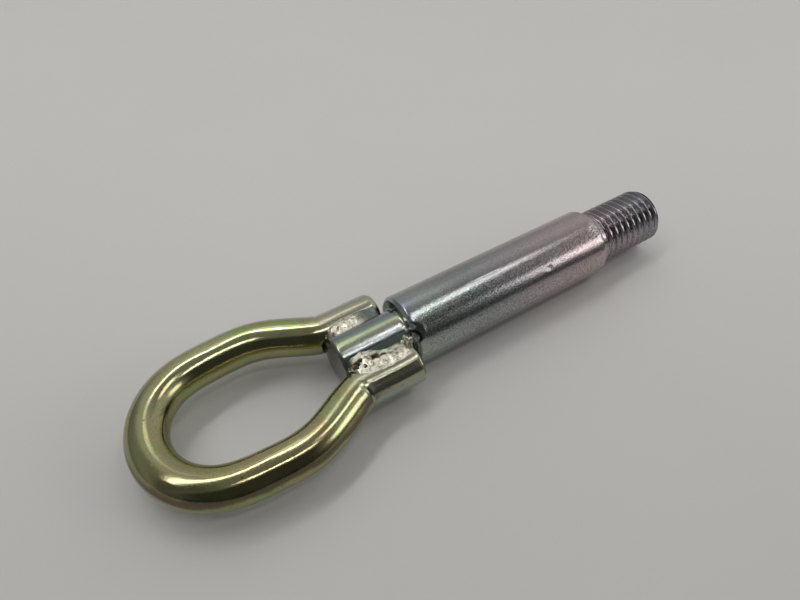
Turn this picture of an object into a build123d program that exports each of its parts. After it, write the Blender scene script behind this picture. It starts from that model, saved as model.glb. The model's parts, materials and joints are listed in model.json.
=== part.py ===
"""Tow eye: a turned shank with a threaded end, and an eye bent from round bar and welded to the shank's stem.

The shank lies along X with its thread towards +X, and the eye lies flat in the XY plane.
The origin is on the shank's axis, at the shoulder behind the thread.
"""
import os
from math import cos, radians, sin, sqrt

from build123d import *

# Shank, one turned bar
thread_d = 18.0
thread_length = 25.4
thread_tip_chamfer = 0.6
body_d = 22.0
body_length = 72.0
body_chamfer = 0.9
stem_d = 15.0
stem_length = 21.3
stem_chamfer = 0.8

# Eye, one round bar, measured on the bar's centre line where nothing else is said
bar_d = 11.5
eye_inner_width = 29.7
side_length = 13.1
side_lean = 3.3
shoulder_radius = 18.0
splay_angle = 28.4
leg_length = 18.7
leg_gap = 1.7
leg_end_chamfer = 0.8
seat_depth = 1.7

# Weld beads, in the grooves between the stem and the legs
bead_radius = 2.8
bead_rise = 0.8
bead_end_gap = 1.2
bead_slope_length = 4.5
bead_end_height = 1.2

# Places that follow from the sizes above
thread_r = thread_d / 2
body_r = body_d / 2
stem_r = stem_d / 2
bar_r = bar_d / 2
stem_end_x = -body_length - stem_length
leg_end_x = -body_length - leg_gap
leg_offset = stem_r + bar_r - seat_depth


def make_shank():
    """The turned bar: threaded end, body, and the thinner stem that the eye is welded to."""
    shoulder_height = body_r - thread_r
    shoulder_chamfer = min(body_chamfer, shoulder_height / 2)
    outline = Polyline(
        (thread_length, 0),
        (thread_length, thread_r - thread_tip_chamfer),
        (thread_length - thread_tip_chamfer, thread_r),
        (0, thread_r),
        (0, body_r - shoulder_chamfer),
        (-shoulder_chamfer, body_r),
        (-body_length + body_chamfer, body_r),
        (-body_length, body_r - body_chamfer),
        (-body_length, stem_r),
        (stem_end_x + stem_chamfer, stem_r),
        (stem_end_x, stem_r - stem_chamfer),
        (stem_end_x, 0),
        close=True,
    )
    return revolve(make_face(outline), Axis.X)


def eye_half_line():
    """One half of the eye's centre line, from the end of a leg round to the middle of the far end."""
    splay = radians(splay_angle)
    lean = radians(side_lean)
    half_width = eye_inner_width / 2 + bar_r
    side_rise = side_length * sin(lean)
    tip_radius = (half_width - shoulder_radius * (1 - cos(lean)) - side_rise) / cos(lean)
    shoulder_rise = shoulder_radius * (1 - cos(splay))
    splay_run = (half_width - leg_offset - shoulder_rise) / sin(splay)

    leg_start = Vector(leg_end_x, leg_offset)
    leg = Line(leg_start, leg_start - (leg_length, 0))
    splayed = Line(leg @ 1, leg @ 1 + Vector(-cos(splay), sin(splay)) * splay_run)
    shoulder = JernArc(splayed @ 1, splayed % 1, shoulder_radius, splay_angle + side_lean)
    side = Line(shoulder @ 1, shoulder @ 1 + (shoulder % 1) * side_length)
    tip = JernArc(side @ 1, side % 1, tip_radius, 90 - side_lean)
    return [leg, splayed, shoulder, side, tip]


def make_eye(shank):
    """The bent bar, with its leg ends eased and a shallow seat along each leg where it lies against the stem."""
    half = eye_half_line()
    centre_line = Wire(half + [edge.mirror(Plane.XZ) for edge in reversed(half)])
    section_plane = Plane(origin=half[0] @ 0, z_dir=half[0] % 0)
    # The legs are pressed over a sharp edge where they leave the stem, so the bar is creased there
    bar = sweep(section_plane * Circle(bar_r), path=centre_line, transition=Transition.RIGHT)
    leg_ends = bar.faces().filter_by(GeomType.PLANE)
    bar = chamfer(leg_ends.edges(), leg_end_chamfer)
    return bar - shank


def make_bead(shank, eye, side, level):
    """A weld bead along one groove. Side is 1 for +Y and -1 for -Y, and level is 1 for the top, -1 for below."""
    groove_y = (leg_offset ** 2 + stem_r ** 2 - bar_r ** 2) / (2 * leg_offset)
    groove_z = sqrt(stem_r ** 2 - groove_y ** 2)
    first_x = stem_end_x + bead_end_gap
    last_x = leg_end_x - bead_end_gap
    # The bead is a round run whose two ends slope down along its length
    slopes = Polyline(
        (first_x, -bead_radius),
        (first_x, bead_end_height),
        (first_x + bead_slope_length, bead_radius),
        (last_x - bead_slope_length, bead_radius),
        (last_x, bead_end_height),
        (last_x, -bead_radius),
        close=True,
    )
    sloped_run = extrude(Plane.XZ * make_face(slopes), bead_radius, both=True)
    round_run = extrude(Plane.YZ.offset(first_x) * Circle(bead_radius), last_x - first_x)
    bead = sloped_run & round_run
    if level < 0:
        bead = bead.mirror(Plane.XY)
    return Pos(0, side * groove_y, level * (groove_z + bead_rise)) * bead - shank - eye


shank = make_shank()
eye_loop = make_eye(shank)
nodes = {"shank": shank, "eye_loop": eye_loop}
for level_name, level in (("top", 1), ("bottom", -1)):
    for side_name, side in (("left", 1), ("right", -1)):
        nodes[f"weld_{level_name}_{side_name}"] = make_bead(shank, eye_loop, side, level)

os.makedirs("parts", exist_ok=True)
for name, solid in nodes.items():
    solid.label = name
    export_step(solid, f"parts/{name}.step")
    print(name, len(solid.solids()), round(solid.volume, 1), solid.bounding_box())
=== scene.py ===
import json
from math import asin, atan2, cos, exp, hypot, pi, radians, sin, sqrt, tau

import bmesh
import bpy
import numpy as np
from mathutils import Matrix, Vector, noise


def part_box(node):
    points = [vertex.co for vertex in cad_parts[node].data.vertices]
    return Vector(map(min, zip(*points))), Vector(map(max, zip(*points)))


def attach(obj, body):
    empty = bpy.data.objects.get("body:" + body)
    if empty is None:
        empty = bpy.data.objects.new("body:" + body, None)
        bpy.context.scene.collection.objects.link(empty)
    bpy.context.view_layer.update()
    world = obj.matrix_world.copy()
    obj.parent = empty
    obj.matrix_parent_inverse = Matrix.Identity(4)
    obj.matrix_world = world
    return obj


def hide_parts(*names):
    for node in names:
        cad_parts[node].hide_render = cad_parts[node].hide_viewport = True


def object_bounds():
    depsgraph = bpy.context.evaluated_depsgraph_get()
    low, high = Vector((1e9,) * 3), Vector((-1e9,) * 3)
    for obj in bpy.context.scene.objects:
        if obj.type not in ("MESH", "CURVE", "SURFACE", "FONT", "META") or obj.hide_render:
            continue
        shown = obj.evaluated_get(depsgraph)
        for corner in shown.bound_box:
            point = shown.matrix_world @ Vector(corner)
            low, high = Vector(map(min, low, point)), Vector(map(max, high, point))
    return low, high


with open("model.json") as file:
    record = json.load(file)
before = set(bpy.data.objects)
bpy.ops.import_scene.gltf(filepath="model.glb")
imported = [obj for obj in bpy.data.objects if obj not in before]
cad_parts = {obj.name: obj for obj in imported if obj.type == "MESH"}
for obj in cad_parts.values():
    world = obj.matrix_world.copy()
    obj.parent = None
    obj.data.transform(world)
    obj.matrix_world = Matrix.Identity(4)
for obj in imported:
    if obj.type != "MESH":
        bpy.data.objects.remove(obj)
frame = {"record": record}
cad_low, cad_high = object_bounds()


# Shank: one steel bar turned on a lathe, with a coarse right-hand thread cut on one end and a thinner stem
# on the other. It is zinc plated and passivated after welding, so its silver drifts to green near the
# stem and to pink and purple at the thread. Its shoulder is burnt where the welding arc caught it.
mm = 0.001
shank_low, shank_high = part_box("shank")
thread_tip_x = shank_high.x
stem_end_x = shank_low.x
body_r = shank_high.z
thread_r = frame["record"]["mounts"][0]["dims"]["r_mm"] * mm
stem_r = 7.5 * mm
neck_x = -72.0 * mm
thread_pitch = 2.5 * mm
thread_depth = 0.48 * thread_pitch
thread_crest_share = 1 / 16
thread_flank_share = 5 / 16
thread_chamfer = 0.6 * mm
thread_runout = (0.9 * mm, 4.5 * mm)
edge_chamfer = 0.9 * mm
stem_chamfer = 0.8 * mm
edge_ease = 0.28 * mm
neck_root_ease = 0.6 * mm
shoulder_root_ease = 0.3 * mm
shank_steps_around = 160
shank_row_gap = 0.8 * mm
rows_per_turn = 20


def smooth_step(low, high, value):
    """0 at low, 1 at high, and an easy slope between them."""
    share = np.clip((value - low) / (high - low), 0, 1)
    return share * share * (3 - 2 * share)


def eased_outline(corners, row_gap):
    """Points along an outline of (x, radius, ease) corners, each corner cut round by its ease."""
    points = [np.array(corners[0][:2])]
    for before, corner, after in zip(corners, corners[1:], corners[2:]):
        here = np.array(corner[:2])
        back = np.array(before[:2]) - here
        ahead = np.array(after[:2]) - here
        back_length = np.linalg.norm(back)
        ahead_length = np.linalg.norm(ahead)
        ease = min(corner[2], 0.45 * back_length, 0.45 * ahead_length)
        start = here + back * ease / back_length
        end = here + ahead * ease / ahead_length
        points.append(("run", start))
        for share in (0.25, 0.5, 0.75, 1.0):
            points.append((1 - share) ** 2 * start + 2 * share * (1 - share) * here + share ** 2 * end)
    points.append(("run", np.array(corners[-1][:2])))
    dense = [points[0]]
    for point in points[1:]:
        if isinstance(point, tuple):
            steps = max(1, round(np.linalg.norm(point[1] - dense[-1]) / row_gap))
            first = dense[-1]
            for step in range(1, steps + 1):
                dense.append(first + (point[1] - first) * step / steps)
        else:
            dense.append(point)
    return np.array(dense)


def grid_faces(rows, around, seam_climb=0):
    """Quads between neighbouring rows of a tube. On a helix the seam climbs by the rows of one turn."""
    row = np.arange(rows - 1)[:, None]
    step = np.arange(around)[None, :]
    climb = np.where(step == around - 1, seam_climb, 0)
    next_step = (step + 1) % around
    near = row * around + step
    far = (row + 1) * around + step
    near_next = np.minimum(row + climb, rows - 1) * around + next_step
    far_next = np.minimum(row + 1 + climb, rows - 1) * around + next_step
    return np.stack([near, near_next, far_next, far], axis=-1).reshape(-1, 4)


def place_object(name, data):
    """A new object in the scene."""
    placed = bpy.data.objects.new(name, data)
    bpy.context.scene.collection.objects.link(placed)
    return placed


def mesh_piece(name, grids, sharp_angle=40.0):
    """One closed mesh from grids of (points, faces), with the doubled points of their borders merged."""
    points = []
    faces = []
    for grid_points, grid_quads in grids:
        faces += (grid_quads + len(points)).tolist()
        points += grid_points.reshape(-1, 3).tolist()
    mesh = bpy.data.meshes.new(name)
    mesh.from_pydata(points, [], faces)
    work = bmesh.new()
    work.from_mesh(mesh)
    bmesh.ops.remove_doubles(work, verts=work.verts, dist=2e-6)
    bmesh.ops.dissolve_degenerate(work, edges=work.edges, dist=1e-7)
    bmesh.ops.recalc_face_normals(work, faces=work.faces)
    for face in work.faces:
        face.smooth = True
    for edge in work.edges:
        edge.smooth = len(edge.link_faces) == 2 and edge.calc_face_angle() < radians(sharp_angle)
    work.to_mesh(mesh)
    work.free()
    return place_object(name, mesh)


def disc_rows(ring, centre, shares=(1.0, 0.66, 0.33, 0.0)):
    """Rows that close the end of a tube, from its last ring in to the centre."""
    return np.array([centre + (ring - centre) * share for share in shares])


shank_turn = np.arange(shank_steps_around) * tau / shank_steps_around
turned_outline = eased_outline([
    (stem_end_x, 0.0, 0.0),
    (stem_end_x, stem_r - stem_chamfer, edge_ease),
    (stem_end_x + stem_chamfer, stem_r, edge_ease),
    (neck_x, stem_r, neck_root_ease),
    (neck_x, body_r - edge_chamfer, edge_ease),
    (neck_x + edge_chamfer, body_r, edge_ease),
    (-edge_chamfer, body_r, edge_ease),
    (0.0, body_r - edge_chamfer, edge_ease),
    (0.0, thread_r, shoulder_root_ease),
    (thread_runout[0], thread_r, 0.0),
], shank_row_gap)
turned_x = np.repeat(turned_outline[:, :1], shank_steps_around, axis=1)
turned_r = np.repeat(turned_outline[:, 1:], shank_steps_around, axis=1)

# Where the arc caught the neck's shoulder the edge has melted back, and small knocks mark the body. Angles
# run from the side that faces -Y up over the top.
turned_angle = np.arctan2(np.sin(shank_turn), -np.cos(shank_turn))[None, :]
burn_x = -71.9 * mm
burn_angle = radians(45)
burn_size = 1.5 * mm
burn_depth = 0.9 * mm
burn_lip = 0.16 * mm
burn_spot_r = 9.4 * mm
burn_spot_angle = radians(34)
burn_spot = Vector((-72.2 * mm, -burn_spot_r * cos(burn_spot_angle), burn_spot_r * sin(burn_spot_angle)))
burn_reach = np.hypot((turned_x - burn_x) * 0.8, (turned_angle - burn_angle) * body_r * 0.62) / burn_size
burn_wave = 1 + 0.25 * np.sin(11 * turned_angle) + 0.15 * np.sin(23 * turned_angle)
# The place of a scuffed patch by the thread's shoulder, which is also painted brighter as a glint.
scuffed_glint_angle = radians(62)
scuffed_glint_spot = Vector((-1.0 * mm, -body_r * cos(scuffed_glint_angle), body_r * sin(scuffed_glint_angle)))
near_rim = smooth_step(stem_r, body_r - edge_chamfer, turned_r)
turned_r = turned_r - burn_depth * np.exp(-burn_reach ** 4) * burn_wave * near_rim
turned_r = turned_r + burn_lip * np.exp(-((burn_reach - 1.35) / 0.22) ** 2) * near_rim


def knocked(r, x, angle, size, depth):
    """The body's radii with one more knock: a small dent, and the lip that it threw up."""
    across = (turned_angle - angle) * body_r
    reach = ((turned_x - x) ** 2 + across ** 2) / size ** 2
    lip = np.exp(-((np.sqrt(reach) - 1.5) / 0.45) ** 2)
    return r - depth * (np.exp(-reach) - 0.35 * lip)


turned_r = knocked(turned_r, x=-23.5 * mm, angle=radians(42), size=0.8 * mm, depth=0.14 * mm)
turned_r = knocked(turned_r, x=-27.1 * mm, angle=radians(61), size=0.6 * mm, depth=0.10 * mm)
turned_r = knocked(turned_r, x=-0.9 * mm, angle=radians(62), size=1.2 * mm, depth=0.22 * mm)
turned_r = knocked(turned_r, x=-0.8 * mm, angle=radians(48), size=0.9 * mm, depth=0.18 * mm)
turned_r = knocked(turned_r, x=-0.6 * mm, angle=radians(79), size=1.4 * mm, depth=0.15 * mm)
turned_r = knocked(turned_r, x=-52.0 * mm, angle=radians(-70), size=0.9 * mm, depth=0.15 * mm)
turned_r = knocked(turned_r, x=-31.0 * mm, angle=radians(150), size=0.8 * mm, depth=0.18 * mm)


def turned_points(x, r):
    """Points of rings about the shank's axis."""
    return np.stack([x, r * np.cos(shank_turn), r * np.sin(shank_turn)], axis=-1)


# The thread's rows climb along its helix, so that its crests and roots stay crisp. Rows past either end of
# the thread close up on the ring there.
thread_turns = (thread_tip_x - thread_runout[0]) / thread_pitch
phase = np.arange(-rows_per_turn, round(thread_turns * rows_per_turn) + 1)
helix_x = thread_runout[0] + thread_pitch * (phase[:, None] / rows_per_turn + shank_turn[None, :] / tau)
helix_x = np.clip(helix_x, thread_runout[0], thread_tip_x)
from_crest = np.abs((phase / rows_per_turn + 0.5) % 1.0 - 0.5)[:, None]
flank = np.clip((from_crest - thread_crest_share) / thread_flank_share, 0, 1)
groove = thread_depth * (0.8 * flank + 0.2 * flank * flank * (3 - 2 * flank))
helix_r = thread_r - groove * smooth_step(thread_runout[0] + 0.2 * mm, thread_runout[1], helix_x)
helix_r = np.minimum(helix_r, thread_r - thread_chamfer + (thread_tip_x - helix_x))
thread_points = turned_points(helix_x, helix_r)
tip_rows = disc_rows(thread_points[-1], np.array([thread_tip_x, 0, 0]))

shank = mesh_piece("turned_shank", [
    (turned_points(turned_x, turned_r), grid_faces(len(turned_x), shank_steps_around)),
    (thread_points, grid_faces(len(thread_points), shank_steps_around, rows_per_turn)),
    (tip_rows, grid_faces(len(tip_rows), shank_steps_around)),
])


def feed(tree, socket, value):
    """Links another node's output to a socket, or sets a plain value on it."""
    if isinstance(value, bpy.types.NodeSocket):
        tree.links.new(value, socket)
    else:
        socket.default_value = value


def add_node(tree, kind, inputs=None, **settings):
    """A shader node with its settings and its inputs, which are values or other nodes' outputs."""
    made = tree.nodes.new(kind)
    for name, value in settings.items():
        setattr(made, name, value)
    for name, value in (inputs or {}).items():
        feed(tree, made.inputs[name], value)
    return made


def combine(tree, operation, *values):
    """What a Math node makes of some values."""
    return add_node(tree, "ShaderNodeMath", dict(enumerate(values)), operation=operation).outputs[0]


def combine_vectors(tree, operation, *values):
    """What a Vector Math node makes of some vectors: a number for a distance, length or dot product."""
    made = add_node(tree, "ShaderNodeVectorMath", dict(enumerate(values)), operation=operation)
    gives_number = operation in ("DISTANCE", "LENGTH", "DOT_PRODUCT")
    return made.outputs["Value" if gives_number else "Vector"]


def noise_field(tree, place, scale, detail, roughness=0.5, distortion=0.0):
    """Soft noise over a surface, from about 0 to 1, with about scale waves to each unit of place."""
    return add_node(tree, "ShaderNodeTexNoise", {
        "Vector": place, "Scale": scale, "Detail": detail, "Roughness": roughness, "Distortion": distortion,
    }).outputs[0]


def new_group(name, inputs, outputs):
    """An empty shader group with its sockets, and its input and output nodes."""
    tree = bpy.data.node_groups.new(name, "ShaderNodeTree")
    for socket_name, kind, value in inputs:
        socket = tree.interface.new_socket(socket_name, in_out="INPUT", socket_type=kind)
        socket.default_value = value
    for socket_name, kind in outputs:
        tree.interface.new_socket(socket_name, in_out="OUTPUT", socket_type=kind)
    return tree, tree.nodes.new("NodeGroupInput").outputs, tree.nodes.new("NodeGroupOutput").inputs


def use_group(tree, group, **values):
    """The group placed in a material, with its own values. Underscores stand for spaces in socket names."""
    placed = tree.nodes.new("ShaderNodeGroup")
    placed.node_tree = group
    for name, value in values.items():
        feed(tree, placed.inputs[name.replace("_", " ")], value)
    return placed.outputs


def mix_colour(tree, share, low, high, blend="MIX"):
    """A colour between two others, by share."""
    made = tree.nodes.new("ShaderNodeMix")
    made.data_type = "RGBA"
    made.blend_type = blend
    # A Mix node has sockets for each kind of value, and these are its share and its two colours
    for number, value in ((0, share), (6, low), (7, high)):
        feed(tree, made.inputs[number], value)
    return made.outputs[2]


def remap(tree, value, low, high, out_low=0.0, out_high=1.0, kind="SMOOTHSTEP"):
    """A value moved from one range to another."""
    made = add_node(tree, "ShaderNodeMapRange", {
        "Value": value, "From Min": low, "From Max": high, "To Min": out_low, "To Max": out_high,
    }, interpolation_type=kind)
    return made.outputs[0]


def make_grain_group():
    """Plating grain: a fine rise and fall, scattered specks where the plating is pitted, and soft clouds."""
    tree, given, result = new_group(
        "plating_grain",
        [("Grain Size", "NodeSocketFloat", 0.5), ("Pit Gap", "NodeSocketFloat", 2.0)],
        [("Height", "NodeSocketFloat"), ("Pits", "NodeSocketFloat"), ("Cloud", "NodeSocketFloat")],
    )
    place = add_node(tree, "ShaderNodeTexCoord").outputs["Object"]
    fine_scale = combine(tree, "DIVIDE", 1000.0, given["Grain Size"])
    pit_scale = combine(tree, "DIVIDE", 1000.0, given["Pit Gap"])
    fine = noise_field(tree, place, scale=fine_scale, detail=3.0, roughness=0.6)
    cloud = noise_field(tree, place, scale=90.0, detail=4.0, roughness=0.55)
    cells = add_node(tree, "ShaderNodeTexVoronoi", {"Vector": place, "Scale": pit_scale, "Randomness": 1.0})
    pick = add_node(tree, "ShaderNodeSeparateColor", {"Color": cells.outputs["Color"]}).outputs[0]
    chosen = remap(tree, pick, 0.80, 0.95, 0.0, 0.17, "LINEAR")
    gap = combine(tree, "SUBTRACT", chosen, cells.outputs["Distance"])
    tree.links.new(remap(tree, gap, 0.0, 0.06), result["Pits"])
    tree.links.new(fine, result["Height"])
    tree.links.new(cloud, result["Cloud"])
    return tree


def make_drift_group():
    """Passivate drift: a colour that wanders to two others in soft patches, as a thin clear film does."""
    tree, given, result = new_group(
        "passivate_drift",
        [
            ("Colour", "NodeSocketColor", (0.6, 0.6, 0.6, 1)),
            ("First Drift", "NodeSocketColor", (0.5, 0.6, 0.5, 1)),
            ("Second Drift", "NodeSocketColor", (0.6, 0.5, 0.6, 1)),
            ("Patch Size", "NodeSocketFloat", 8.0),
            ("Amount", "NodeSocketFloat", 0.6),
        ],
        [("Colour", "NodeSocketColor")],
    )
    place = add_node(tree, "ShaderNodeTexCoord").outputs["Object"]
    scale = combine(tree, "DIVIDE", 1000.0, given["Patch Size"])
    first = noise_field(tree, place, scale=scale, detail=2.0, distortion=0.8)
    moved = combine_vectors(tree, "ADD", place, (0.31, 0.17, 0.23))
    second = noise_field(tree, moved, scale=scale, detail=2.0, distortion=0.8)
    first_share = remap(tree, first, 0.46, 0.68)
    second_share = remap(tree, second, 0.46, 0.68)
    first_share = combine(tree, "MULTIPLY", first_share, given["Amount"])
    second_share = combine(tree, "MULTIPLY", second_share, given["Amount"])
    colour = mix_colour(tree, first_share, given["Colour"], given["First Drift"])
    colour = mix_colour(tree, second_share, colour, given["Second Drift"])
    tree.links.new(colour, result["Colour"])
    return tree


def make_scratch_group():
    """Handling scratches: sparse thin lines in crossing directions, and the rubbed patches between them."""
    tree, given, result = new_group(
        "handling_scratches",
        [("Density", "NodeSocketFloat", 1.0)],
        [("Lines", "NodeSocketFloat"), ("Rub", "NodeSocketFloat")],
    )
    place = add_node(tree, "ShaderNodeTexCoord").outputs["Object"]
    lines = None
    line_scale = 300.0
    for turn, stretch in ((0.5, 9.0), (-0.35, 12.0), (1.2, 7.0)):
        laid = add_node(tree, "ShaderNodeMapping", {
            "Vector": place, "Rotation": (turn, 0.4 * turn, turn),
            "Scale": (line_scale / stretch, line_scale, line_scale),
        }).outputs[0]
        field = noise_field(tree, laid, scale=1.0, detail=0.0)
        off = combine(tree, "SUBTRACT", field, 0.63)
        off = combine(tree, "ABSOLUTE", off)
        line = remap(tree, off, 0.0, 0.006, 1.0, 0.0, "LINEAR")
        if lines is None:
            lines = line
        else:
            lines = combine(tree, "MAXIMUM", lines, line)
    rub = noise_field(tree, place, scale=60.0, detail=5.0, roughness=0.65)
    rub_share = remap(tree, rub, 0.5, 0.72)
    lines = combine(tree, "MULTIPLY", lines, rub_share)
    lines = combine(tree, "MULTIPLY", lines, given["Density"])
    tree.links.new(lines, result["Lines"])
    tree.links.new(rub_share, result["Rub"])
    return tree


plating_grain = make_grain_group()
passivate_drift = make_drift_group()
handling_scratches = make_scratch_group()


def new_material(name):
    """A material with its shader, ready for links."""
    material = bpy.data.materials.new(name)
    material.use_nodes = True
    tree = material.node_tree
    return material, tree, tree.nodes["Principled BSDF"]


def plate_metal(tree, shader, tint, rough, height, relief, strength):
    """Makes the shader bare plated metal, whose surface rises by the relief, in metres, with the height."""
    bump = add_node(tree, "ShaderNodeBump", {"Strength": strength, "Distance": relief, "Height": height})
    tree.links.new(tint, shader.inputs["Base Color"])
    tree.links.new(rough, shader.inputs["Roughness"])
    tree.links.new(bump.outputs[0], shader.inputs["Normal"])
    shader.inputs["Metallic"].default_value = 1.0


def colour_ramp(tree, share, stops):
    """A colour from a ramp of (place, colour) stops, which run from 0 to 1."""
    made = tree.nodes.new("ShaderNodeValToRGB")
    elements = made.color_ramp.elements
    elements[0].color = (*stops[0][1], 1.0)
    elements[1].color = (*stops[-1][1], 1.0)
    for place, colour in stops[1:-1]:
        elements.new(place).color = (*colour, 1.0)
    tree.links.new(share, made.inputs[0])
    return made.outputs[0]


def make_shank_plating():
    """Bright zinc with a thin passivate film, whose tint follows the length of the bar, with painted
    highlight and reflection bands round the stem and a painted glint on a scuff by the thread.
    """
    material, tree, shader = new_material("shank_bright_zinc")
    place = add_node(tree, "ShaderNodeTexCoord").outputs["Object"]
    apart = add_node(tree, "ShaderNodeSeparateXYZ", {"Vector": place})
    wander = noise_field(tree, place, scale=70.0, detail=3.0)
    shift = remap(tree, wander, 0.0, 1.0, -9.0 * mm, 9.0 * mm, "LINEAR")
    along = combine(tree, "ADD", apart.outputs[0], shift)
    share = remap(tree, along, stem_end_x, thread_tip_x, 0.0, 1.0, "LINEAR")
    length = thread_tip_x - stem_end_x

    def at(x):
        """How far along the ramp a place on the bar is."""
        return (x - stem_end_x) / length

    tint = colour_ramp(tree, share, [
        (0.0, (0.22, 0.22, 0.22)),
        (at(-91 * mm), (0.40, 0.44, 0.28)),
        (at(-83 * mm), (0.36, 0.42, 0.36)),
        (at(-75 * mm), (0.36, 0.38, 0.46)),
        (at(-68 * mm), (0.41, 0.46, 0.41)),
        (at(-50 * mm), (0.36, 0.38, 0.38)),
        (at(-25 * mm), (0.46, 0.41, 0.42)),
        (at(-3 * mm), (0.55, 0.44, 0.44)),
        (at(5 * mm), (0.46, 0.39, 0.42)),
        (1.0, (0.42, 0.40, 0.44)),
    ])
    # Round the stem the colour runs from the side that faces -Y up over the top: film tint with a painted
    # highlight band and painted dark and pale reflection bands
    front = combine(tree, "MULTIPLY", apart.outputs[1], -1.0)
    climb = combine(tree, "ARCTAN2", apart.outputs[2], front)
    climb = combine(tree, "MULTIPLY_ADD", shift, 18.0, climb)
    film = colour_ramp(tree, remap(tree, climb, 0.0, pi, 0.0, 1.0, "LINEAR"), [
        (0.0, (0.44, 0.50, 0.45)),
        (0.28, (0.70, 0.86, 0.75)),
        (0.315, (0.17, 0.18, 0.28)),
        (0.345, (0.62, 0.66, 0.63)),
        (0.40, (0.80, 0.82, 0.74)),
        (0.44, (0.56, 0.61, 0.36)),
        (0.52, (0.47, 0.54, 0.33)),
        (0.58, (0.27, 0.33, 0.36)),
        (0.70, (0.38, 0.38, 0.40)),
        (1.0, (0.36, 0.38, 0.36)),
    ])
    on_stem = remap(tree, apart.outputs[0], neck_x + 0.6 * mm, neck_x - 0.4 * mm, 0.0, 0.85)
    off_end = remap(tree, apart.outputs[0], stem_end_x + 0.3 * mm, stem_end_x + 1.4 * mm)
    on_stem = combine(tree, "MULTIPLY", on_stem, off_end)
    tint = mix_colour(tree, on_stem, tint, film)
    tint = use_group(
        tree, passivate_drift, Colour=tint, First_Drift=(0.36, 0.42, 0.38, 1),
        Second_Drift=(0.44, 0.38, 0.41, 1), Patch_Size=11.0, Amount=0.3,
    )["Colour"]
    grain = use_group(tree, plating_grain, Grain_Size=0.43, Pit_Gap=1.6)
    marks = use_group(tree, handling_scratches, Density=0.8)
    speckle = remap(tree, grain["Height"], 0.38, 0.60, 0.54, 1.16, "LINEAR")
    # The grain is faint on the stem and over the top, and shows most on the lower side
    grain_share = remap(tree, apart.outputs[0], neck_x - 1.0 * mm, neck_x + 9.0 * mm, 0.45, 1.0)
    low_side = remap(tree, climb, radians(84), radians(58), 0.3, 1.0)
    grain_share = combine(tree, "MULTIPLY", grain_share, low_side)
    tint = mix_colour(tree, grain_share, tint, speckle, "MULTIPLY")
    top_dim = remap(tree, climb, radians(58), radians(84), 1.0, 0.90)
    tint = mix_colour(tree, 1.0, tint, top_dim, "MULTIPLY")
    tint = mix_colour(tree, grain["Pits"], tint, (0.16, 0.15, 0.14, 1))
    tint = mix_colour(tree, marks["Lines"], tint, (0.62, 0.62, 0.60, 1))
    # A scuffed patch by the thread's shoulder: partly real scuffing, partly a painted glint where the edge
    # catches light.
    from_scuffed_glint = combine_vectors(tree, "DISTANCE", place, scuffed_glint_spot)
    scuffed_glint = remap(tree, from_scuffed_glint, 1.5 * mm, 5.0 * mm, 1.0, 0.0)
    scrape = remap(tree, grain["Height"], 0.46, 0.56)
    scuffed_glint = combine(tree, "MULTIPLY", scuffed_glint, scrape)
    tint = mix_colour(tree, scuffed_glint, tint, (0.80, 0.79, 0.78, 1))
    from_burn = combine_vectors(tree, "DISTANCE", place, burn_spot)
    from_burn = combine(tree, "MULTIPLY_ADD", shift, 0.05, from_burn)
    from_arc = combine(tree, "SUBTRACT", from_burn, 2.3 * mm)
    from_arc = combine(tree, "ABSOLUTE", from_arc)
    soot = remap(tree, from_arc, 0.15 * mm, 0.6 * mm, 0.95, 0.0)
    upper = remap(tree, apart.outputs[2], 4.5 * mm, 6.0 * mm, 0.15, 1.0)
    soot = combine(tree, "MULTIPLY", soot, upper)
    tint = mix_colour(tree, soot, tint, (0.035, 0.03, 0.025, 1))
    rough = remap(tree, grain["Cloud"], 0.3, 0.7, 0.10, 0.18, "LINEAR")
    rough = combine(tree, "MULTIPLY_ADD", marks["Rub"], 0.06, rough)
    rough = combine(tree, "MULTIPLY_ADD", scuffed_glint, 0.25, rough)
    height = combine(tree, "MULTIPLY_ADD", grain["Pits"], -0.8, grain["Height"])
    height = combine(tree, "MULTIPLY_ADD", marks["Lines"], -0.4, height)
    plate_metal(tree, shader, tint, rough, height, relief=0.040 * mm, strength=0.9)
    return material


shank.data.materials.append(make_shank_plating())
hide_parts("shank")
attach(shank, "root")


# Eye: one round steel bar bent cold in a die to a long eye, with its two sheared legs pressed against the
# stem and welded there. It is zinc plated and yellow passivated, which gives an olive gold.
eye_low, eye_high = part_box("eye_loop")
bar_r = eye_high.z
leg_end_x = eye_high.x
eye_half_width = eye_high.y - bar_r
leg_offset = 11.55 * mm
leg_length = 16.8 * mm
leg_bend_r = 7.5 * mm
splay = radians(28.4)
shoulder_r = 18.0 * mm
side_length = 13.1 * mm
side_lean = radians(3.3)
bend_ease = 14.0 * mm
crease_depth = 0.16 * mm
crease_length = 1.3 * mm
lip_height = 0.22 * mm
lip_offset = 1.7 * mm
lip_length = 1.1 * mm
bend_flat_depth = 0.35 * mm
bend_flat_length = 4.0 * mm
leg_flat_depth = 0.08 * mm
leg_flat_angles = (radians(128), radians(232))
die_line_angle = radians(135)
die_line_width = radians(3)
die_line_height = 0.07 * mm
bar_waviness = 0.05 * mm
far_leg_ease = 2.2 * mm
near_leg_ease = 0.9 * mm
bar_steps_around = 96
bar_row_gap = 0.55 * mm

side_rise = side_length * sin(side_lean)
tip_r = (eye_half_width - shoulder_r * (1 - cos(side_lean)) - side_rise) / cos(side_lean)
bend_rise = leg_bend_r * (1 - cos(splay))
shoulder_rise = shoulder_r * (1 - cos(splay))
splay_run = (eye_half_width - leg_offset - bend_rise - shoulder_rise) / sin(splay)


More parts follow.
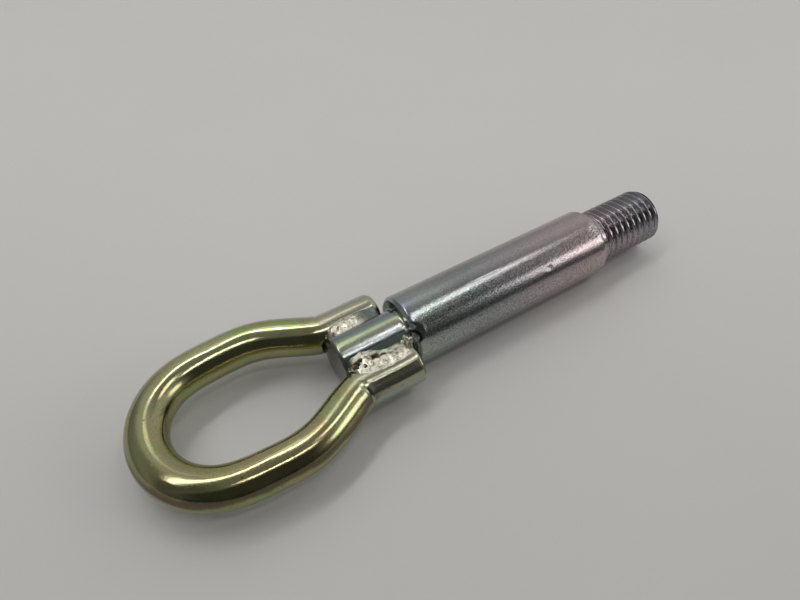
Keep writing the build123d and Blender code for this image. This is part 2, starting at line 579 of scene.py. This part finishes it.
def walk_line(place, heading, runs, gap, ease):
    """Points and headings along runs of (length, turn, eased). Eased runs bend softly into each other."""
    bends = np.zeros(0)
    eased_bends = np.zeros(0)
    step_lengths = np.zeros(0)
    for length, turn, eased in runs:
        steps = max(1, round(length / gap))
        bend = np.full(steps, turn / steps)
        bends = np.append(bends, 0 * bend if eased else bend)
        eased_bends = np.append(eased_bends, bend if eased else 0 * bend)
        step_lengths = np.append(step_lengths, np.full(steps, length / steps))
    window = round(ease / gap)
    padded = np.pad(eased_bends, window, mode="edge")
    bends = bends + np.convolve(padded, np.ones(window) / window, mode="same")[window:-window]
    headings = heading + np.concatenate([[0.0], np.cumsum(bends)])
    middles = (headings[1:] + headings[:-1]) / 2
    strides = step_lengths[:, None] * np.stack([np.cos(middles), np.sin(middles)], axis=-1)
    points = place + np.concatenate([[[0.0, 0.0]], np.cumsum(strides, axis=0)])
    return points, headings


half_points, half_headings = walk_line(np.array([leg_end_x, leg_offset]), pi, [
    (leg_length, 0.0, False),
    (leg_bend_r * splay, -splay, False),
    (splay_run, 0.0, True),
    (shoulder_r * (splay + side_lean), splay + side_lean, True),
    (side_length, 0.0, True),
    (tip_r * (pi / 2 - side_lean), pi / 2 - side_lean, True),
], bar_row_gap, bend_ease)
# Easing moves the far end a little, so the line is drawn back little by little to meet its mirror image.
far_miss = half_points[-1] - np.array([eye_low.x + bar_r, 0.0])
drawn = smooth_step(0.0, 1.0, np.linspace(-0.3, 1.0, len(half_points)))[:, None]
half_points = half_points - far_miss * drawn
half_headings = half_headings + (1.5 * pi - half_headings[-1]) * drawn[:, 0]
line_points = np.concatenate([half_points, half_points[-2::-1] * [1, -1]])
line_headings = np.concatenate([half_headings, 3 * pi - half_headings[-2::-1]])
step_lengths = np.linalg.norm(np.diff(line_points, axis=0), axis=1)
line_run = np.concatenate([[0.0], np.cumsum(step_lengths)])
line_length = line_run[-1]

# Across the bar, angle 0 faces the inside of the eye and a quarter turn faces up.
bar_turn = np.arange(bar_steps_around) * tau / bar_steps_around
inward = np.stack([-np.sin(line_headings), np.cos(line_headings), 0 * line_headings], axis=-1)
centres = np.concatenate([line_points, np.zeros((len(line_points), 1))], axis=1)
leg_bend_run = leg_length + leg_bend_r * splay / 2
from_end = np.minimum(line_run, line_length - line_run)[:, None]
facing_out = np.maximum(0, -np.cos(bar_turn))[None, :]
facing_in = np.maximum(0, np.cos(bar_turn))[None, :]
crease = np.exp(-((from_end - leg_bend_run) / crease_length) ** 2)
crease_lips = np.exp(-((np.abs(from_end - leg_bend_run) - lip_offset) / lip_length) ** 2)
bend_flat = np.exp(-((from_end - leg_bend_run) / bend_flat_length) ** 2)
bar_radius = bar_r * np.ones((len(line_run), bar_steps_around))
bar_radius -= crease_depth * crease * facing_out ** 1.5
bar_radius += lip_height * crease_lips * facing_out
bar_radius -= bend_flat_depth * bend_flat * facing_in ** 2
leg_share = smooth_step(leg_bend_run - 0.5 * mm, leg_bend_run - 4.0 * mm, from_end)
flat_reach = bar_r - leg_flat_depth
for flat_angle in leg_flat_angles:
    toward_flat = np.cos(bar_turn - flat_angle)[None, :]
    flat_limit = flat_reach / np.maximum(toward_flat, 0.2)
    bar_radius -= leg_share * np.maximum(0, bar_radius - flat_limit)
die_line = np.exp(-((bar_turn - die_line_angle) / die_line_width) ** 2)[None, :]
bar_radius += die_line_height * leg_share * die_line
wave = np.array([
    [noise.noise(Vector((run * 90, 3 * cos(turn), 3 * sin(turn)))) for turn in bar_turn] for run in line_run
])
bar_radius += bar_waviness * wave

bar_rings = centres[:, None, :] + bar_radius[:, :, None] * (
    np.cos(bar_turn)[None, :, None] * inward[:, None, :]
    + np.sin(bar_turn)[None, :, None] * np.array([0.0, 0.0, 1.0])
)


def leg_end_rows(ring, centre, ease):
    """Rows that close a sheared leg: an eased rim, then its cut face."""
    rows = []
    for share in np.linspace(0, 1, 7):
        inset = ease * (1 - cos(share * pi / 2))
        back = ease * (1 - sin(share * pi / 2))
        rows.append(centre + (ring - centre) * (1 - inset / bar_r) - np.array([back, 0.0, 0.0]))
    face = rows[-1] - centre
    for share in (0.75, 0.5, 0.25, 0.0):
        rows.append(centre + face * share)
    return np.array(rows)


first_end = leg_end_rows(bar_rings[0], centres[0], far_leg_ease)
last_end = leg_end_rows(bar_rings[-1], centres[-1], near_leg_ease)
clear_of_ends = (line_run > far_leg_ease + 0.2 * mm) & (line_run < line_length - near_leg_ease - 0.2 * mm)
bar_rows = np.concatenate([first_end[::-1], bar_rings[clear_of_ends], last_end])

# The legs are pressed onto the stem, so what would lie inside it is flattened to its surface.
inside = (np.hypot(bar_rows[..., 1], bar_rows[..., 2]) < stem_r) & (bar_rows[..., 0] > stem_end_x)
seat_y = np.sqrt(np.maximum(stem_r ** 2 - bar_rows[..., 2] ** 2, 0))
bar_rows[..., 1] = np.where(inside, np.sign(bar_rows[..., 1]) * seat_y, bar_rows[..., 1])

eye = mesh_piece("bent_eye", [(bar_rows, grid_faces(len(bar_rows), bar_steps_around))], 50.0)


def make_eye_plating():
    """Yellow passivated zinc: olive gold with painted shade underneath, brown outside from a stain and a
    painted dark reflection, and paler on the heat-tinted legs, whose tops carry painted light.
    """
    material, tree, shader = new_material("eye_yellow_zinc")
    place = add_node(tree, "ShaderNodeTexCoord").outputs["Object"]
    facing = add_node(tree, "ShaderNodeNewGeometry").outputs["Normal"]
    up = add_node(tree, "ShaderNodeSeparateXYZ", {"Vector": facing}).outputs[2]
    wander = noise_field(tree, place, scale=120.0, detail=3.0)
    shift = remap(tree, wander, 0.0, 1.0, -0.25, 0.25, "LINEAR")
    up = combine(tree, "ADD", up, shift)
    # By which way the surface faces: greener underneath as a film tint, and darker underneath as painted
    # shade.
    tint = colour_ramp(tree, remap(tree, up, -1.0, 1.0, 0.0, 1.0, "LINEAR"), [
        (0.0, (0.30, 0.33, 0.24)),
        (0.40, (0.30, 0.33, 0.19)),
        (0.55, (0.37, 0.39, 0.17)),
        (0.70, (0.44, 0.43, 0.21)),
        (0.85, (0.46, 0.46, 0.25)),
        (1.0, (0.46, 0.46, 0.26)),
    ])
    tint = use_group(
        tree, passivate_drift, Colour=tint, First_Drift=(0.34, 0.46, 0.16, 1),
        Second_Drift=(0.43, 0.35, 0.18, 1), Patch_Size=15.0, Amount=0.8,
    )["Colour"]
    # The outer flank is painted dark brown: partly a stain, partly a painted dark reflection of the room.
    from_middle = combine_vectors(tree, "SUBTRACT", place, (-115.0 * mm, 0.0, 0.0))
    outward = combine_vectors(tree, "MULTIPLY", from_middle, (1.0, 1.0, 0.0))
    outward = combine_vectors(tree, "NORMALIZE", outward)
    facing_out = combine_vectors(tree, "DOT_PRODUCT", facing, outward)
    stain_and_dark_reflection = remap(tree, facing_out, 0.35, 0.75)
    for low, high in ((0.08, 0.28), (0.66, 0.42)):
        in_band = remap(tree, up, low, high)
        stain_and_dark_reflection = combine(tree, "MULTIPLY", stain_and_dark_reflection, in_band)
    along = add_node(tree, "ShaderNodeSeparateXYZ", {"Vector": place}).outputs[0]
    far_end = remap(tree, along, -126.0 * mm, -141.0 * mm, 0.0, 0.5)
    tint = mix_colour(tree, far_end, tint, (0.33, 0.32, 0.18, 1))
    on_leg = remap(tree, along, -97.0 * mm, -89.0 * mm, 0.0, 0.75)
    # Heat tint on the legs near the welds, teal underneath, and lighter on top as painted light.
    heat_tint_and_top_light = mix_colour(tree, remap(tree, up, -0.1, 0.6), (0.37, 0.45, 0.42, 1), (0.52, 0.50, 0.40, 1))
    tint = mix_colour(tree, on_leg, tint, heat_tint_and_top_light)
    tint = mix_colour(tree, stain_and_dark_reflection, tint, (0.16, 0.14, 0.09, 1))
    grain = use_group(tree, plating_grain, Grain_Size=0.36, Pit_Gap=1.9)
    marks = use_group(tree, handling_scratches, Density=0.15)
    speckle = remap(tree, grain["Height"], 0.32, 0.62, 0.82, 1.06, "LINEAR")
    tint = mix_colour(tree, 1.0, tint, speckle, "MULTIPLY")
    tint = mix_colour(tree, grain["Pits"], tint, (0.14, 0.11, 0.06, 1))
    tint = mix_colour(tree, marks["Lines"], tint, (0.62, 0.60, 0.42, 1))
    rough = remap(tree, grain["Cloud"], 0.3, 0.7, 0.08, 0.15, "LINEAR")
    rough = combine(tree, "MULTIPLY_ADD", on_leg, 0.09, rough)
    height = combine(tree, "MULTIPLY_ADD", grain["Pits"], -0.8, grain["Height"])
    height = combine(tree, "MULTIPLY_ADD", marks["Lines"], -0.4, height)
    plate_metal(tree, shader, tint, rough, height, relief=0.019 * mm, strength=0.9)
    return material


eye.data.materials.append(make_eye_plating())
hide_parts("eye_loop")
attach(eye, "root")


# Weld beads: four runs of weld metal, one along each groove between the stem and a leg. They were laid by
# hand, so each has its own width, ripples, pits and ends, and they were plated with the rest.
bead_low, bead_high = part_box("weld_top_right")
bead_row_gap = 0.22 * mm
bead_steps_over = 30
bead_steps_under = 8
bead_start_taper = 0.06
bead_end_taper = 0.04
bead_ripple_gap = 1.5 * mm
bead_lump_size = 1.7 * mm
stem_waver_length = 2.6 * mm
leg_waver_length = 2.2 * mm


def bead_section(stem_spread, leg_spread, rise):
    """One cut across a bead, as (outward, upward) points: over the crown, down the leg, and up the stem."""
    root = np.array([(leg_offset ** 2 + stem_r ** 2 - bar_r ** 2) / (2 * leg_offset), 0.0])
    root[1] = sqrt(stem_r ** 2 - root[0] ** 2)
    stem_root = asin(root[1] / stem_r)
    leg_root = asin(root[1] / bar_r)
    stem_angles = stem_root + stem_spread * np.linspace(0, 1, bead_steps_under)
    leg_angles = leg_root + leg_spread * np.linspace(1, 0, bead_steps_under)
    on_stem = stem_r * np.stack([np.cos(stem_angles), np.sin(stem_angles)], axis=-1)
    on_leg = np.array([leg_offset, 0]) + bar_r * np.stack([-np.cos(leg_angles), np.sin(leg_angles)], axis=-1)
    share = np.linspace(0, 1, bead_steps_over + 2)[1:-1, None]
    chord = on_leg[0] - on_stem[-1]
    out = np.array([-chord[1], chord[0]]) / max(np.linalg.norm(chord), 1e-9)
    over = on_stem[-1] + chord * share + rise * 4 * share * (1 - share) * out
    return np.concatenate([over, on_leg, on_stem]), out, share[:, 0]


def make_bead(name, side, level, plan):
    """A bead's closed mesh. Side is 1 for +Y and level is 1 for the top."""
    x_places = np.linspace(bead_low.x, bead_high.x, round((bead_high.x - bead_low.x) / bead_row_gap))
    spans = np.array(plan["spans"])
    rows = []
    for x in x_places:
        along = (x - bead_low.x) / (bead_high.x - bead_low.x)
        stem_spread = np.interp(along, spans[:, 0], spans[:, 1])
        leg_spread = np.interp(along, spans[:, 0], spans[:, 2])
        rise = np.interp(along, spans[:, 0], spans[:, 3])
        taper = sqrt(min(1.0, along / bead_start_taper, (1 - along) / bead_end_taper))
        stem_waver = 1 + 0.12 * noise.noise(Vector((x / stem_waver_length, plan["seed"], 0)))
        leg_waver = 1 + 0.05 * noise.noise(Vector((x / leg_waver_length, plan["seed"], 5)))
        section, out, share = bead_section(
            radians(stem_spread) * taper * stem_waver,
            radians(leg_spread) * taper * leg_waver,
            rise * mm * taper,
        )
        crown = 4 * share * (1 - share) * taper
        ripple = np.sin(tau * (x / bead_ripple_gap + 0.9 * (share - 0.5) ** 2 * 4))
        lift = plan["ripple"] * crown * ripple
        for step, over_share in enumerate(share):
            spot = Vector((x / bead_lump_size, over_share * 3.5, plan["seed"]))
            lift[step] += plan["rough"] * crown[step] * noise.fractal(spot, 0.9, 2.0, 2)
            for pit_along, pit_over, pit_length, pit_width, pit_depth in plan["pits"]:
                reach = hypot((along - pit_along) / pit_length, (over_share - pit_over) / pit_width)
                hollow = exp(-reach ** 3) - 0.3 * exp(-((reach - 1.5) / 0.4) ** 2)
                lift[step] -= min(1.0, 2.0 * crown[step]) * pit_depth * mm * hollow
        section[:bead_steps_over] += lift[:, None] * out
        rows.append(np.stack([x + 0 * section[:, 0], side * section[:, 0], level * section[:, 1]], axis=-1))
    rows = np.array(rows)
    first = np.repeat(rows[:1].mean(axis=1, keepdims=True), rows.shape[1], axis=1)
    last = np.repeat(rows[-1:].mean(axis=1, keepdims=True), rows.shape[1], axis=1)
    rows = np.concatenate([first, rows, last])
    return mesh_piece(name, [(rows, grid_faces(len(rows), rows.shape[1]))], 60.0)


# Spans are (share of the length, degrees up the stem, degrees up the leg, rise in mm), and pits are (share of
# the length, share across, length, width, depth in mm).
bead_plans = {
    "weld_top_right": {
        "seed": 3.1, "ripple": 0.03 * mm, "rough": 0.11 * mm,
        "spans": [(0.0, 15, 26, 0.25), (0.08, 26, 46, 0.4), (0.25, 30, 60, 0.4), (0.42, 24, 65, 0.45),
                  (0.60, 14, 66, 0.55), (0.76, 10, 64, 0.6), (1.0, 8, 58, 0.55)],
        "pits": [(0.42, 0.40, 0.09, 0.08, 1.1), (0.55, 0.34, 0.06, 0.07, 0.7), (0.10, 0.50, 0.04, 0.10, 0.6),
                 (0.17, 0.38, 0.03, 0.07, 0.5), (0.20, 0.66, 0.03, 0.08, 0.4), (0.31, 0.25, 0.02, 0.05, 0.3)],
    },
    "weld_top_left": {
        "seed": 7.7, "ripple": 0.03 * mm, "rough": 0.10 * mm,
        "spans": [(0.0, 10, 14, 0.2), (0.12, 24, 30, 0.5), (0.35, 27, 38, 0.5), (0.6, 22, 36, 0.3),
                  (0.8, 12, 34, 0.0), (1.0, 8, 32, -0.1)],
        "pits": [(0.16, 0.40, 0.05, 0.20, 0.45), (0.52, 0.62, 0.04, 0.06, 0.2)],
    },
    "weld_bottom_right": {
        "seed": 12.4, "ripple": 0.07 * mm, "rough": 0.14 * mm,
        "spans": [(0.0, 10, 16, 0.2), (0.15, 22, 32, 0.6), (0.6, 20, 34, 0.6), (1.0, 10, 20, 0.2)],
        "pits": [(0.82, 0.5, 0.05, 0.14, 0.45)],
    },
    "weld_bottom_left": {
        "seed": 18.9, "ripple": 0.07 * mm, "rough": 0.14 * mm,
        "spans": [(0.0, 12, 16, 0.2), (0.2, 23, 30, 0.6), (0.7, 21, 32, 0.5), (1.0, 9, 18, 0.2)],
        "pits": [(0.2, 0.5, 0.05, 0.14, 0.4), (0.62, 0.4, 0.04, 0.1, 0.3)],
    },
}


# Craters are painted dark inside as shade: x, y, half length and half width of each.
weld_craters = [
    (-84.8 * mm, -7.8 * mm, 1.9 * mm, 0.75 * mm),
    (-82.4 * mm, -7.9 * mm, 1.1 * mm, 0.5 * mm),
    (-90.5 * mm, -8.0 * mm, 1.2 * mm, 1.1 * mm),
    (-89.2 * mm, -6.8 * mm, 1.1 * mm, 0.6 * mm),
    (-88.6 * mm, -9.4 * mm, 0.6 * mm, 0.5 * mm),
]


def make_weld_plating():
    """Weld metal under the plating: creamy and rough, with brown patches, dark specks, and painted shade in
    its craters and hollows.
    """
    material, tree, shader = new_material("weld_rough_zinc")
    place = add_node(tree, "ShaderNodeTexCoord").outputs["Object"]
    tint = use_group(
        tree, passivate_drift, Colour=(0.94, 0.91, 0.76, 1), First_Drift=(0.25, 0.23, 0.14, 1),
        Second_Drift=(0.82, 0.77, 0.60, 1), Patch_Size=1.3, Amount=0.95,
    )["Colour"]
    apart = add_node(tree, "ShaderNodeSeparateXYZ", {"Vector": place})
    along = combine(tree, "MULTIPLY_ADD", apart.outputs[1], 0.35, apart.outputs[0])
    drawn_out = remap(tree, along, -82.0 * mm, -76.0 * mm)
    on_left = remap(tree, apart.outputs[1], -2.0 * mm, 2.0 * mm)
    drawn_out = combine(tree, "MULTIPLY", drawn_out, on_left)
    tint = mix_colour(tree, drawn_out, tint, (0.18, 0.21, 0.19, 1))
    # The hollows of the beads, found by their pointiness, are painted dark as shade.
    hollow = add_node(tree, "ShaderNodeNewGeometry").outputs["Pointiness"]
    soot = remap(tree, hollow, 0.40, 0.49, 1.0, 0.0)
    tint = mix_colour(tree, soot, tint, (0.10, 0.085, 0.05, 1))
    wobble = noise_field(tree, place, scale=1100.0, detail=2.0)
    for crater_x, crater_y, half_length, half_width in weld_craters:
        off = combine_vectors(tree, "SUBTRACT", place, (crater_x, crater_y, 0.0))
        off = combine_vectors(tree, "MULTIPLY", off, (1 / half_length, 1 / half_width, 0.0))
        reach = combine_vectors(tree, "LENGTH", off)
        reach = combine(tree, "MULTIPLY_ADD", wobble, 1.6, reach)
        tint = mix_colour(tree, remap(tree, reach, 1.5, 1.9, 0.92, 0.0), tint, (0.05, 0.04, 0.025, 1))
    grain = use_group(tree, plating_grain, Grain_Size=0.5, Pit_Gap=0.8)
    tint = mix_colour(tree, grain["Pits"], tint, (0.12, 0.10, 0.06, 1))
    crust = noise_field(tree, place, scale=900.0, detail=3.0)
    rough = remap(tree, crust, 0.3, 0.7, 0.26, 0.42, "LINEAR")
    height = combine(tree, "MULTIPLY_ADD", grain["Pits"], -0.2, crust)
    plate_metal(tree, shader, tint, rough, height, relief=0.09 * mm, strength=0.7)
    return material


weld_plating = make_weld_plating()
for bead_name, bead_plan in bead_plans.items():
    bead_side = 1 if bead_name.endswith("left") else -1
    bead_level = 1 if "top" in bead_name else -1
    bead = make_bead(bead_name + "_bead", bead_side, bead_level, bead_plan)
    bead.data.materials.append(weld_plating)
    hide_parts(bead_name)
    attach(bead, "root")


# Spatter: drops of weld metal that froze at the root of the shoulder and beside the beads, fused to the
# steel and plated over.
def add_drop(work, number, x, angle, r, size):
    """A squashed lump of weld metal. Its number makes it uneven in its own way."""
    out = Vector((0, -cos(angle), sin(angle)))
    centre = Vector((x, 0, 0)) + r * out
    lump = bmesh.ops.create_icosphere(work, subdivisions=3, radius=size)["verts"]
    for vert in lump:
        spot = vert.co / size * 1.1 + Vector((number * 5.3, 0, 0))
        place = vert.co * (1 + 0.28 * noise.fractal(spot, 0.9, 2.0, 3))
        vert.co = centre + place - 0.35 * place.dot(out) * out


drops = bmesh.new()
add_drop(drops, 0, x=-73.6 * mm, angle=radians(38), r=stem_r + 0.3 * mm, size=0.95 * mm)
add_drop(drops, 1, x=-72.7 * mm, angle=radians(33), r=stem_r + 1.0 * mm, size=1.0 * mm)
add_drop(drops, 2, x=-73.4 * mm, angle=radians(28), r=stem_r + 0.5 * mm, size=0.9 * mm)
add_drop(drops, 3, x=-75.0 * mm, angle=radians(33), r=stem_r - 0.1 * mm, size=0.6 * mm)
add_drop(drops, 4, x=-72.5 * mm, angle=radians(52), r=stem_r + 0.6 * mm, size=0.7 * mm)
add_drop(drops, 5, x=-72.5 * mm, angle=radians(118), r=stem_r + 0.2 * mm, size=0.75 * mm)
add_drop(drops, 6, x=-72.5 * mm, angle=radians(-40), r=stem_r + 0.3 * mm, size=0.9 * mm)
for drop_face in drops.faces:
    drop_face.smooth = True
spatter_mesh = bpy.data.meshes.new("weld_spatter")
drops.to_mesh(spatter_mesh)
drops.free()
spatter = place_object("weld_spatter", spatter_mesh)
spatter.data.materials.append(weld_plating)
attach(spatter, "root")


# Floor: a plain pale table top with a faint gloss, which the part lies on. It is the stage for the
# picture, and isn't part of the object.
floor_z = cad_low[2]
floor_half = 8.0
floor_mesh = bpy.data.meshes.new("floor")
floor_mesh.from_pydata(
    [(-floor_half, -floor_half, floor_z), (floor_half, -floor_half, floor_z),
     (floor_half, floor_half, floor_z), (-floor_half, floor_half, floor_z)],
    [], [(0, 1, 2, 3)],
)
floor = place_object("floor", floor_mesh)


def make_floor_finish():
    """Off-white table with a faint cloudiness, and painted shade that makes it a little darker towards its
    front edge.
    """
    material, tree, shader = new_material("pale_table")
    place = add_node(tree, "ShaderNodeTexCoord").outputs["Object"]
    cloud = noise_field(tree, place, scale=9.0, detail=4.0)
    tint = mix_colour(tree, cloud, (0.83, 0.805, 0.78, 1), (0.88, 0.855, 0.83, 1))
    # Painted shade: the table darkens towards its front edge.
    toward_back = (0.515, 0.857, 0.0)
    away = combine_vectors(tree, "DOT_PRODUCT", place, toward_back)
    painted_front_shade = remap(tree, away, -0.20, 0.10, 0.80, 1.0)
    tint = mix_colour(tree, 1.0, tint, painted_front_shade, "MULTIPLY")
    tree.links.new(tint, shader.inputs["Base Color"])
    shader.inputs["Roughness"].default_value = 0.45
    return material


floor.data.materials.append(make_floor_finish())


# Light: four lamps under the ceiling and a window at one side, in a pale room. The room is dimmer at the
# left and dark low down in front, which the bright metal shows as dark bands.
ceiling_z = 1.2


def add_lamp(name, place, turn, size, radiance):
    """A flat rectangular lamp, turned by Euler angles from shining straight down."""
    lamp = bpy.data.lights.new(name, "AREA")
    lamp.shape = "RECTANGLE"
    lamp.size, lamp.size_y = size
    lamp.energy = radiance * pi * size[0] * size[1]
    holder = place_object(name, lamp)
    holder.location = place
    holder.rotation_euler = turn


def add_ceiling_lamp(name, first, last, width, radiance):
    """A lamp under the ceiling, from one (x, y) point to another."""
    run = Vector(last) - Vector(first)
    middle = (Vector(first) + Vector(last)) / 2
    turn = (0.0, 0.0, atan2(run.y, run.x))
    add_lamp(name, (*middle, ceiling_z), turn, (run.length, width), radiance)


add_ceiling_lamp("lamp_behind", (-1.14, 0.14), (0.14, 0.57), width=0.13, radiance=6.2)
add_ceiling_lamp("lamp_above", (-0.30, -0.43), (0.30, -0.53), width=0.08, radiance=7.4)
add_ceiling_lamp("lamp_far", (-0.03, 0.86), (0.44, 0.86), width=0.24, radiance=1.05)
add_ceiling_lamp("lamp_right", (0.32, -0.24), (0.67, 0.07), width=0.21, radiance=3.2)
window_toward = Vector((0.66, -0.59, 0.46)).normalized()
window_turn = window_toward.to_track_quat("Z", "Y").to_euler()
window_distance = 1.5
add_lamp("window", window_distance * window_toward, window_turn, size=(0.62, 0.38), radiance=1.8)


def make_room():
    """The room as a world: pale walls, dimmer overhead and at the left, and dark low down in front."""
    world = bpy.data.worlds.new("room")
    world.use_nodes = True
    tree = world.node_tree
    toward = add_node(tree, "ShaderNodeTexCoord").outputs["Generated"]
    side = add_node(tree, "ShaderNodeSeparateXYZ", {"Vector": toward})
    front = combine(tree, "MULTIPLY", side.outputs[1], -1.0)
    height = combine(tree, "ABSOLUTE", side.outputs[2])
    climb = combine(tree, "ARCTAN2", height, front)
    wall = colour_ramp(tree, remap(tree, climb, 0.0, pi, 0.0, 1.0, "LINEAR"), [
        (0.0, (0.11, 0.11, 0.11)),
        (0.07, (0.11, 0.11, 0.11)),
        (0.14, (0.40, 0.40, 0.40)),
        (0.34, (0.36, 0.36, 0.36)),
        (0.42, (0.24, 0.24, 0.24)),
        (0.53, (0.24, 0.24, 0.24)),
        (0.60, (0.38, 0.38, 0.38)),
        (0.66, (0.54, 0.54, 0.54)),
        (0.74, (0.60, 0.60, 0.60)),
        (0.85, (0.48, 0.48, 0.48)),
        (1.0, (0.40, 0.40, 0.40)),
    ])
    left_dim = remap(tree, side.outputs[0], -0.50, -0.10, 0.5, 1.0)
    wall = mix_colour(tree, 1.0, wall, left_dim, "MULTIPLY")
    right_pale = remap(tree, side.outputs[0], 0.50, 0.75)
    off_ground = remap(tree, height, 0.10, 0.45)
    right_pale = combine(tree, "MULTIPLY", right_pale, off_ground)
    wall = mix_colour(tree, right_pale, wall, (0.60, 0.59, 0.57, 1))
    from_left = remap(tree, side.outputs[0], -1.0, -0.70, 0.45, 1.0)
    from_right = remap(tree, side.outputs[0], 0.68, 0.26)
    from_above = remap(tree, climb, radians(70), radians(56))
    in_dark = combine(tree, "MULTIPLY", from_left, from_right)
    in_dark = combine(tree, "MULTIPLY", in_dark, from_above)
    light = mix_colour(tree, in_dark, wall, (0.046, 0.045, 0.043, 1))
    tree.links.new(light, tree.nodes["Background"].inputs["Color"])
    return world


bpy.context.scene.world = make_room()


# Camera: it stands at the photograph's viewing angle, for an image of 800 by 600. Its place and lens come
# from a fit to points of the object in the photograph.
image_width = 800
focal_pixels = 637.0
view_azimuth = radians(-30.787)
view_elevation = radians(47.752)
view_roll = radians(1.481)
view_distance = 195.85 * mm
view_aim = Vector((-65.17, 10.92, 0.0)) * mm

camera_data = bpy.data.cameras.new("camera")
camera_data.sensor_width = 36.0
camera_data.lens = camera_data.sensor_width * focal_pixels / image_width
camera_data.clip_start = 0.01
camera = place_object("camera", camera_data)
backward = Vector((
    sin(view_azimuth) * cos(view_elevation), -cos(view_azimuth) * cos(view_elevation), sin(view_elevation),
))
level_right = Vector((cos(view_azimuth), sin(view_azimuth), 0.0))
level_up = backward.cross(level_right)
right = cos(view_roll) * level_right - sin(view_roll) * level_up
up = sin(view_roll) * level_right + cos(view_roll) * level_up
camera.matrix_world = Matrix.Translation(view_aim + view_distance * backward) @ Matrix(
    (right, up, backward)
).transposed().to_4x4()
bpy.context.scene.camera = camera
bpy.context.scene.view_settings.view_transform = "Standard"
